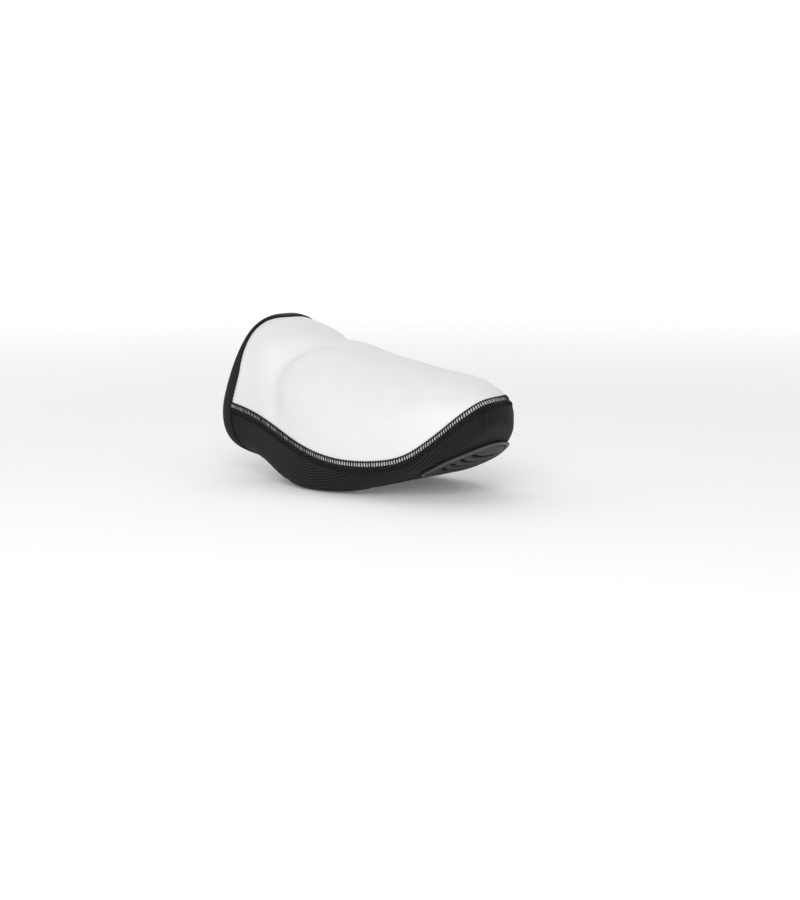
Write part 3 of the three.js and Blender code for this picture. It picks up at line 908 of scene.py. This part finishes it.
# %% The cleat opening
CLEAT_OPENING = {"back": 104, "y": 0, "length": 72, "width": 66, "power": 4}


def cleat_distance(p):
    """|along/half length|^4 + |across/half width|^4: under 1 inside the opening."""
    along = (p[..., 0] + CLEAT_OPENING["back"]) / (CLEAT_OPENING["length"] / 2)
    across = (p[..., 1] - CLEAT_OPENING["y"]) / (CLEAT_OPENING["width"] / 2)
    return np.abs(along) ** CLEAT_OPENING["power"] + np.abs(across) ** CLEAT_OPENING["power"]


def cut_opening(points, quads, triangles):
    """The quads and triangles that stay, and which points they use.

    A face goes when one of its corners lies in the opening. A point between a face that goes
    and one that stays is moved away from the opening's middle or towards it, in proportion,
    until the sum of powers is 1.
    """
    under = points[:, 2] < section["widest"](-points[:, 0])
    inside = (cleat_distance(points) < 1) & under
    cut_quads, cut_triangles = inside[quads].any(1), inside[triangles].any(1)
    dropped, used = np.zeros(len(points), bool), np.zeros(len(points), bool)
    dropped[np.concatenate([quads[cut_quads].ravel(), triangles[cut_triangles].ravel()])] = True
    quads, triangles = quads[~cut_quads], triangles[~cut_triangles]
    used[np.concatenate([quads.ravel(), triangles.ravel()])] = True
    edge = dropped & used
    middle = np.array([-CLEAT_OPENING["back"], CLEAT_OPENING["y"]])
    scale = cleat_distance(points[edge]) ** (-1 / CLEAT_OPENING["power"])
    points[edge, :2] = middle + (points[edge, :2] - middle) * scale[:, None]
    print(f"the opening takes away {cut_quads.sum()} faces and has {edge.sum()} points round it")
    return quads, triangles, used

# %% The black sole panel
SOLE_WALL = 2.0
ALLOWANCE = 0.22         # the seam allowance's second layer stands out by this much
CREASE = 0.5             # depth of the crease
SOLE_SQUEEZE = 0.4       # the binding presses the cloth down by this much
form, distance, station, angle = panel_lines(-90, far_rows=84)
pulled = -STITCH_PULL * np.exp(-((distance / 1.2) ** 2))
allowance = ALLOWANCE * (1 - smoothstep(6.0, 7.6, distance))
crease_mask = smoothstep(60, 85, -form[..., 0]) * (1 - smoothstep(140, 165, -form[..., 0]))
crease = -CREASE * np.exp(-(((form[..., 2] - 2.4) / 0.8) ** 2)) * crease_mask
skin = lifted(form, allowance + pulled + crease - SOLE_SQUEEZE * under_binding(station, angle))
first, points, quads, triangles = panel_faces(skin)
cloth = cloth_coordinates(form, station, angle).reshape(-1, 2)[first]
quads, triangles, used = cut_opening(points, quads, triangles)
number = np.cumsum(used) - 1
faces = [*number[quads].tolist(), *number[triangles].tolist()]
sole = make_piece("sole_shell", points[used], faces, CLOTH, LINING, uv=cloth[used])
wall(sole, SOLE_WALL)
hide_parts("sole_panel")

# %% [markdown]
# ## The seam
#
# The two panels are joined by a flat seam. The pale cut edge of the neoprene shows between
# close black stitches, so the seam looks like a ladder. Below it a second, finer row of
# black thread holds the allowance down. Every stitch is a real piece of thread here, drawn
# flat and laid on the skin by the seam's map; one stitch has a few dozen faces. Along the
# sides the thread is fuller and less even, so there the stitches are thicker and differ more.
# An array modifier along a curve would be quicker, but would make them all alike.

# %% The pale edge between the stitches
STOP = 6.5   # the seam's details end this far inside the binding
along = np.linspace(STOP, SEAM_LENGTH - STOP, 640)
PALE_PROFILE = np.array([   # across the seam, out from the skin
    [1.1, -0.9], [0.95, 0.05], [0.5, 0.32], [0.0, 0.42], [-0.7, 0.42], [-1.3, 0.32],
    [-1.75, 0.05], [-2.0, -0.9], [-1.0, -0.9], [0.0, -0.9],
])
rings, _ = on_band(along[:, None], PALE_PROFILE[None, :, 0], PALE_PROFILE[None, :, 1])
pale_edge = make_piece("seam_edge", *swept(rings[None], closed=False), PALE_EDGE)
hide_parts("seam_tape")

# %% The ladder of black stitches
PITCH = 1.75          # from stitch to stitch
LADDER_TOP = 2.0      # a stitch runs down from here
LADDER_WIDTH = 4.1    # over this distance
LADDER_RADIUS = 0.53
stitch_count = int((SEAM_LENGTH - 2 * STOP) / PITCH)
at = STOP + PITCH * (np.arange(stitch_count) + 0.5)
t = np.linspace(0, 1, 10)
across = LADDER_TOP - LADDER_WIDTH * t
rise = -0.25 + 0.5 * np.sin(np.pi * t) ** 0.6
lean = 0.3 * (t - 0.5)
chance = np.random.default_rng(7).normal(size=(2, stitch_count))
uneven = 0.07 * chance[0]
full = smoothstep(40, 170, np.abs(at - SEAM_MIDDLE))
radius = LADDER_RADIUS + 0.09 * full + (0.02 + 0.05 * full) * chance[1]
places = on_band(at[:, None] + lean + uneven[:, None], across[None], rise[None])
stitches = sewn("seam_ladder", places, radius, 6, BLACK_THREAD)
print(f"{stitch_count} stitches in the ladder")

# %% The cord along the top of the ladder
CORD_RADIUS = 0.46
along = np.linspace(STOP, SEAM_LENGTH - STOP, int(SEAM_LENGTH / PITCH * 6))
wave = 1.2 - 0.25 * np.cos(2 * np.pi * (along - STOP) / PITCH)
places = on_band(along, wave, 0.05)
cord = sewn("seam_top_cord", places, CORD_RADIUS, 7, BLACK_THREAD, taper=False)

# %% The second row of stitching
SECOND_ROW = -4.6   # its middle line, across the seam
SWING = 1.35        # how far the thread swings to each side of it
SECOND_RADIUS = 0.24
per_stitch = 8
turns = np.arange(stitch_count * per_stitch) / per_stitch
swing = SECOND_ROW + SWING * np.sin(2 * np.pi * turns)
rise = 0.4 + 0.1 * np.cos(4 * np.pi * turns)
places = on_band(STOP + PITCH * turns, swing, rise)
row = sewn("seam_second_row", places, SECOND_RADIUS, 5, BLACK_THREAD, taper=False)

# %% [markdown]
# ## The rear binding
#
# A strip of elastic is folded over the raw rear edge and stitched through. Its shape is one
# profile, the folded strip cut across, carried round the edge. The profile is given by how
# far in front of the edge and how far out of the skin each of its corners lies. A bevelled
# curve would carry it too, but couldn't make it narrower where the binding has rolled in.

# %% A map along the rear edge
def around_edge(side, count):
    """Angles along one half of the rear edge, from under the foot to the ridge, spaced by
    distance."""
    angles = np.linspace(-90, 90, 361)
    travelled = lengths_along(station_point(side * LAST_STATION, angles))
    return np.interp(np.linspace(0, travelled[-1], count), travelled, angles), travelled[-1]


EDGE_POINTS = 230   # on each half of the edge
lateral, lateral_length = around_edge(-1, EDGE_POINTS)
medial, medial_length = around_edge(1, EDGE_POINTS)
EDGE_LENGTH = lateral_length + medial_length
print(f"the rear edge is {EDGE_LENGTH:.0f} mm round")


def edge_angle(along):
    """Side and angle from level of the place a distance along the rear edge."""
    along = np.mod(along, EDGE_LENGTH)
    up_lateral = np.interp(along, np.linspace(0, lateral_length, EDGE_POINTS), lateral)
    up_medial = np.interp(EDGE_LENGTH - along, np.linspace(0, medial_length, EDGE_POINTS), medial)
    is_lateral = along < lateral_length
    return np.where(is_lateral, -1.0, 1.0), np.where(is_lateral, up_lateral, up_medial)


def on_edge(along, forward, out):
    """The skin point at a distance along the rear edge and in front of it, lifted by out."""
    side, angle = edge_angle(along)
    form = station_point(side * (LAST_STATION - forward), angle)
    return lifted(form, out), normal_at(form)

# %% The folded elastic
BITE = 2.6   # from zigzag stitch to zigzag stitch; the elastic puckers with them
OUTER_LEG = np.array([   # in front of the edge, out from the skin
    [7.2, -0.2], [BINDING_WIDTH, 0.35], [6.9, 0.75], [6.2, 0.8], [5.5, 0.72], [4.4, 0.95],
    [3.0, 1.1], [1.6, 1.15], [0.3, 1.05], [-0.7, 0.6], [-1.35, -0.2], [-1.6, -1.1],
])
INNER_LEG = OUTER_LEG[::-1] * [1, -1] - [0, 2.2]
BACK_OF_LEGS = np.array([[7.0, -1.9], [0.5, -1.7], [0.5, -0.5], [7.0, -0.3]])
profile = np.concatenate([OUTER_LEG, INNER_LEG[1:], BACK_OF_LEGS])
along = EDGE_LENGTH * np.arange(520) / 520
near_stitch = np.exp(-((profile[:, 0] - 6) / 1.5) ** 2)
pucker = 0.06 * np.sin(2 * np.pi * along / BITE)[:, None] * near_stitch
share = (binding_reach(*edge_angle(along)) / BINDING_WIDTH)[:, None]
outer = np.arange(len(profile)) < len(OUTER_LEG)
forward = profile[:, 0] * np.where(profile[:, 0] > 0, np.where(outer, share, 2 - share), 1)
out = profile[:, 1] * np.where(outer, 1.6 - 0.6 * share, 1)
rings, _ = on_edge(along[:, None], forward + pucker, out + pucker)
across = np.concatenate([[0], np.cumsum(np.linalg.norm(np.diff(profile, axis=0), axis=1))])
cloth = np.stack(np.broadcast_arrays(along[:, None], across[None]), -1).reshape(-1, 2)
binding = make_piece("rear_elastic", *swept(rings[None], closed=True), ELASTIC, uv=cloth)
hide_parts("rear_binding")

# %% The zigzag that holds the binding
ZIGZAG_RADIUS = 0.2
zigzag_count = int(EDGE_LENGTH / BITE)
per_stitch = 12
turns = np.arange(zigzag_count * per_stitch) / per_stitch
triangle = 2 * np.abs(2 * (turns % 1) - 1) - 1
along = EDGE_LENGTH * turns / zigzag_count
forward = (6.6 + 1.25 * triangle) * binding_reach(*edge_angle(along)) / BINDING_WIDTH
above = np.where(triangle > 0.5, 0.1, 0.85)   # on the cloth in front, on the elastic behind
places = on_edge(along, forward, above)
zigzag = sewn("rear_zigzag", places, ZIGZAG_RADIUS, 6, BLACK_THREAD, closed=True, taper=False)

# %% [markdown]
# ## The toe pad
#
# A moulded rubber pad takes the wear when the toe touches the ground. It is one height map
# on a round grid: rings from a middle point out to the pad's outline, and for every place
# the thickness of the rubber. A raised bead follows the outline, and inside it bowed
# grooves run across the foot, each with round ends. Cutting the grooves with Booleans would
# leave sharp edges to round afterwards; a height map is round from the start.

# %% Where the pad lies
TOE_PAD = {"back": 31, "y": 13, "front": 20.1, "rear": 20.5, "lateral": 36.5, "medial": 24}
GROOVES = {"first": 24.6, "pitch": 7.25, "count": 4, "middle": 18, "bow": 0.0121, "reach": 0.66,
           "half_width": 1.5, "depth": 1.1, "span": 34}
RUBBER_THICKNESS = 1.3
BEAD = {"inward": 0.8, "radius": 0.8, "height": 0.9}
BEAD_FOOT = {"inward": 2.1, "width": 0.5, "depth": 0.36}   # a shallow line inside the bead
RIB_RISE = 0.4
# tone of the plain face, between the painted shade of the grooves and the rubbed bead
PLAIN_FACE_TONE = 0.34


def pad_radius(turn):
    """Distance from the pad's middle to its outline; turn 0 looks backwards.

    The outline is four quarters of super-ellipses, |along/length|^power + |across/width|^power
    = 1, each with its own half lengths, of power 2 in front and 3.5 behind.
    """
    along, across = np.cos(turn), np.sin(turn)
    length = np.where(along < 0, TOE_PAD["front"], TOE_PAD["rear"])
    width = np.where(across < 0, TOE_PAD["lateral"], TOE_PAD["medial"])
    power = np.where(along < 0, 2.0, 3.5)
    return (np.abs(along / length) ** power + np.abs(across / width) ** power) ** (-1 / power)

# %% How thick the rubber is
def groove_distances(back, y, share):
    """Distance from the nearest groove's middle line, and how far past its end.

    The lines are parabolas, back = first + pitch*number - bow*(y - middle)^2, and the distance
    along the foot is divided by sqrt(1 + slope^2). They end at a share of the way outwards,
    and a whole share counts as the groove's span.
    """
    off_middle = y - GROOVES["middle"]
    turns = (back + GROOVES["bow"] * off_middle**2 - GROOVES["first"]) / GROOVES["pitch"]
    nearest = np.clip(np.round(turns), 0, GROOVES["count"] - 1)
    slope = 2 * GROOVES["bow"] * off_middle
    apart = np.abs(turns - nearest) * GROOVES["pitch"] / np.sqrt(1 + slope**2)
    return apart, (share - GROOVES["reach"]) * GROOVES["span"]


def pad_thickness(back, y, inward, share):
    """Thickness of the rubber, and a tone from 0 in a groove, where its shade is painted, to 1 on
    the rubbed bead, with the shallow line inside the bead painted as shade too; share is the
    distance from the middle as a share of that to the outline.

    The plain thickness, plus a half-round bead near the outline and ribs between the grooves,
    less the grooves, depth*exp(-(d/half width)^4) with d the distance from the groove's
    middle, and less a shallow line inside the bead.
    """
    height = np.clip(1 - ((inward - BEAD["inward"]) / BEAD["radius"]) ** 2, 0, 1)
    bead = BEAD["height"] * np.sqrt(height)
    apart, past_end = groove_distances(back, y, share)
    groove = np.exp(-((apart / GROOVES["half_width"]) ** 4)) * (1 - smoothstep(0.0, 1.2, past_end))
    end = np.exp(-(((apart**2 + past_end**2) / GROOVES["half_width"] ** 2) ** 2))
    deep = np.maximum(groove, end)
    ribbed = RIB_RISE * (1 - smoothstep(-4, 3, past_end)) * smoothstep(0.5, 3.0, apart)
    foot = np.exp(-(((inward - BEAD_FOOT["inward"]) / BEAD_FOOT["width"]) ** 2))
    # the tone: 0, painted shade, in the grooves and the shallow line; 1 on the rubbed bead
    wear_and_shade = (PLAIN_FACE_TONE + (1 - PLAIN_FACE_TONE) * (bead > 0.3)) * (1 - np.maximum(deep, foot))
    thickness = RUBBER_THICKNESS + ribbed + bead - BEAD_FOOT["depth"] * foot
    return thickness - GROOVES["depth"] * deep, wear_and_shade

# %% The rubber
SINK = 0.3          # the pad's back lies this deep in the cloth
MIDDLE_RING = 59    # the back needs one ring between its edge and its middle
turn = np.linspace(0, 2 * np.pi, 521)[:-1, None]
share = np.linspace(0, 1, 121)[None, 1:]
radius = pad_radius(turn)
back = TOE_PAD["back"] + share * radius * np.cos(turn)
y = TOE_PAD["y"] + share * radius * np.sin(turn)
down = np.broadcast_to([0.0, 0.0, -1.0], back.shape + (3,))
form = cast(np.stack([-back, y, section["widest"](back)], -1), down)
thickness, wear_and_shade = pad_thickness(back, y, (1 - share) * radius, share)


def ring_centre(rings):
    """The middle of the innermost ring, once for every direction."""
    return np.broadcast_to(rings[:, :1].mean(0, keepdims=True), rings[:, :1].shape)


front, rear = lifted(form, thickness), lifted(form, -SINK)
rings = np.concatenate([ring_centre(front), front, rear[:, -1:], rear[:, MIDDLE_RING, None],
                        ring_centre(rear)], 1)
first, quads, triangles = welded(rings.reshape(-1, 3), grid_quads(*rings.shape[:2], closed=True))
points = rings.reshape(-1, 3)[first]
if volume_of(points, quads) < 0:
    quads, triangles = quads[:, ::-1], triangles[:, ::-1]
pad = make_piece("toe_rubber", points, [*quads.tolist(), *triangles.tolist()], RUBBER)
# the pad's back, hidden in the cloth, takes tone 0
hidden_back_tone = np.zeros((len(wear_and_shade), 3))
wear_and_shade = np.concatenate([wear_and_shade[:, :1], wear_and_shade, hidden_back_tone], 1).ravel()[first]
pad.data.attributes.new("wear_and_shade", "FLOAT", "POINT").data.foreach_set("value", wear_and_shade)
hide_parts("toe_pad")

# %% [markdown]
# ## The stitched dart at the toe
#
# The flat cloth has to be folded in at the front to turn round the toe. The fold is closed
# by a short row of stitches that runs down from the seam. They are drawn flat on the seam's
# map, like the others, so they need no placing by hand.

# %% The dart
DART = {"from": 7.5, "to": 21.5, "stitches": 9, "stitch": 1.15, "radius": 0.2}
down = np.linspace(DART["from"], DART["to"], DART["stitches"])[:, None]
t = np.linspace(0, 1, 7)[None]
dart_line = np.interp(DART_STATION, fine_stations, fine_along) + 0.25 * (t - 0.5)
places = on_band(dart_line, -(down + DART["stitch"] * t), 0.3 * np.sin(np.pi * t))
dart = sewn("toe_dart", places, DART["radius"], 6, GREY_THREAD)

# %% [markdown]
# ## What the cloth was cut from
#
# The two panels are stretch cloth pulled into shape, so each says how large its flat cut
# was. The upper's cut is as large as the skin that it covers. The sole panel's is a little
# larger, because its seam allowance and the fold of the dart lie double.

def surface_area(piece):
    """Area in square metres of a piece's own faces, before its modifiers."""
    areas = np.empty(len(piece.data.polygons))
    piece.data.polygons.foreach_get("area", areas)
    return float(areas.sum())


print("areas, m2:", round(surface_area(upper), 4), round(surface_area(sole), 4))

# %% [markdown]
# ## Stage, light and camera
#
# The cover stands on a pale sheet that curves up behind it and glows more the farther it is
# from the part, so there is no horizon. A large soft light stands beside the camera, a weak
# one farther round to the left and another high above, and the world fills in. A plane with
# a far wall would do for a stage, but its corner would show as a line.

# %% The paper's glow
VIEW_AZIMUTH = 42   # the camera stands here, in degrees from -Y towards +X
PAPER_GLOW = {"From Min": 0.3, "From Max": 1.7, "To Min": 0.1, "To Max": 0.4}


def glowing_paper():
    """Matt paper whose emission rises smoothly with the distance from the part."""
    material = new_material("paper", (0.93, 0.93, 0.93), Roughness=0.9,
                            Emission_Color=(1, 1, 1, 1))
    tree = material.node_tree
    distance = tree.nodes.new("ShaderNodeVectorMath")
    distance.operation = "LENGTH"
    tree.links.new(coordinates(material, cloth=False), distance.inputs[0])
    glow = tree.nodes.new("ShaderNodeMapRange")
    glow.interpolation_type = "SMOOTHSTEP"
    for socket, value in PAPER_GLOW.items():
        glow.inputs[socket].default_value = value
    tree.links.new(distance.outputs["Value"], glow.inputs["Value"])
    tree.links.new(glow.outputs["Result"], shader_of(material).inputs["Emission Strength"])
    return material

# %% The sheet of paper
PAPER = {"front": -2.5, "level": 1.6, "bend": 0.8, "top": 4.0, "half_width": 3.5}


def backdrop():
    """A sheet carried up behind the part: level first, then a quarter circle, then upright."""
    bend = np.linspace(0, math.pi / 2, 25)
    run = PAPER["level"] + PAPER["bend"] * np.sin(bend)
    run = np.concatenate([[PAPER["front"]], run, [PAPER["level"] + PAPER["bend"]]])
    rise = PAPER["bend"] - PAPER["bend"] * np.cos(bend)
    rise = np.concatenate([[0], rise, [PAPER["top"]]])
    turn = math.radians(VIEW_AZIMUTH)
    away = np.array([-math.sin(turn), math.cos(turn)])
    across = np.array([math.cos(turn), math.sin(turn)])
    u = np.array([-PAPER["half_width"], PAPER["half_width"]])
    plan = run[:, None, None] * away + u[None, :, None] * across
    points = np.concatenate([plan, np.broadcast_to(rise[:, None, None], plan.shape[:2] + (1,))], -1)
    quads = grid_quads(len(run), 2)[:, ::-1]
    mesh = bpy.data.meshes.new("paper")
    mesh.from_pydata(points.reshape(-1, 3).tolist(), [], quads.tolist())
    mesh.shade_smooth()
    paper = bpy.data.objects.new("paper", mesh)
    bpy.context.collection.objects.link(paper)
    mesh.materials.append(glowing_paper())


backdrop()

# %% Lights
def area_light(name, azimuth, elevation, distance, size, watts):
    """A square light aimed at the part; azimuth 0 shines from -Y and 90 from +X."""
    a, e = math.radians(azimuth), math.radians(elevation)
    data = bpy.data.lights.new(name, "AREA")
    data.energy, data.size = watts, size
    light = bpy.data.objects.new(name, data)
    x, y = math.sin(a) * math.cos(e), -math.cos(a) * math.cos(e)
    light.location = (x * distance, y * distance, math.sin(e) * distance)
    light.rotation_euler = (math.pi / 2 - e, 0, a)
    bpy.context.collection.objects.link(light)


SOFT_BOXES = [   # name, azimuth, elevation, distance and size in metres, watts
    ["front soft box", 36, 30, 1.6, 0.9, 13.0],
    ["left soft box", -50, 30, 1.6, 0.9, 1.5],
    ["top soft box", 222, 78, 1.6, 1.4, 3.4],
]
for box in SOFT_BOXES:
    area_light(*box)
print(f"{len(SOFT_BOXES)} soft boxes")

# %% The light from all round
WORLD_STRENGTH = 0.415
world = bpy.data.worlds.new("studio")
world.use_nodes = True
background = world.node_tree.nodes["Background"]
background.inputs["Color"].default_value = (1, 1, 1, 1)
background.inputs["Strength"].default_value = WORLD_STRENGTH
bpy.context.scene.world = world
bpy.context.scene.view_settings.view_transform = "Standard"

# %% Camera
CAMERA = {"elevation": 9, "distance": 1.25, "lens": 86.5, "aim": (0.0026, 0.0223, 0.0195)}
a, e = math.radians(VIEW_AZIMUTH), math.radians(CAMERA["elevation"])
back = (math.sin(a) * math.cos(e), -math.cos(a) * math.cos(e), math.sin(e))
data = bpy.data.cameras.new("camera")
data.sensor_fit, data.sensor_width, data.lens = "HORIZONTAL", 36, CAMERA["lens"]
camera = bpy.data.objects.new("camera", data)
camera.location = [c + CAMERA["distance"] * b for c, b in zip(CAMERA["aim"], back)]
camera.rotation_euler = (math.pi / 2 - e, 0, a)
bpy.context.collection.objects.link(camera)
bpy.context.scene.camera = camera
print("the camera stands at", [round(c, 3) for c in camera.location], "m")
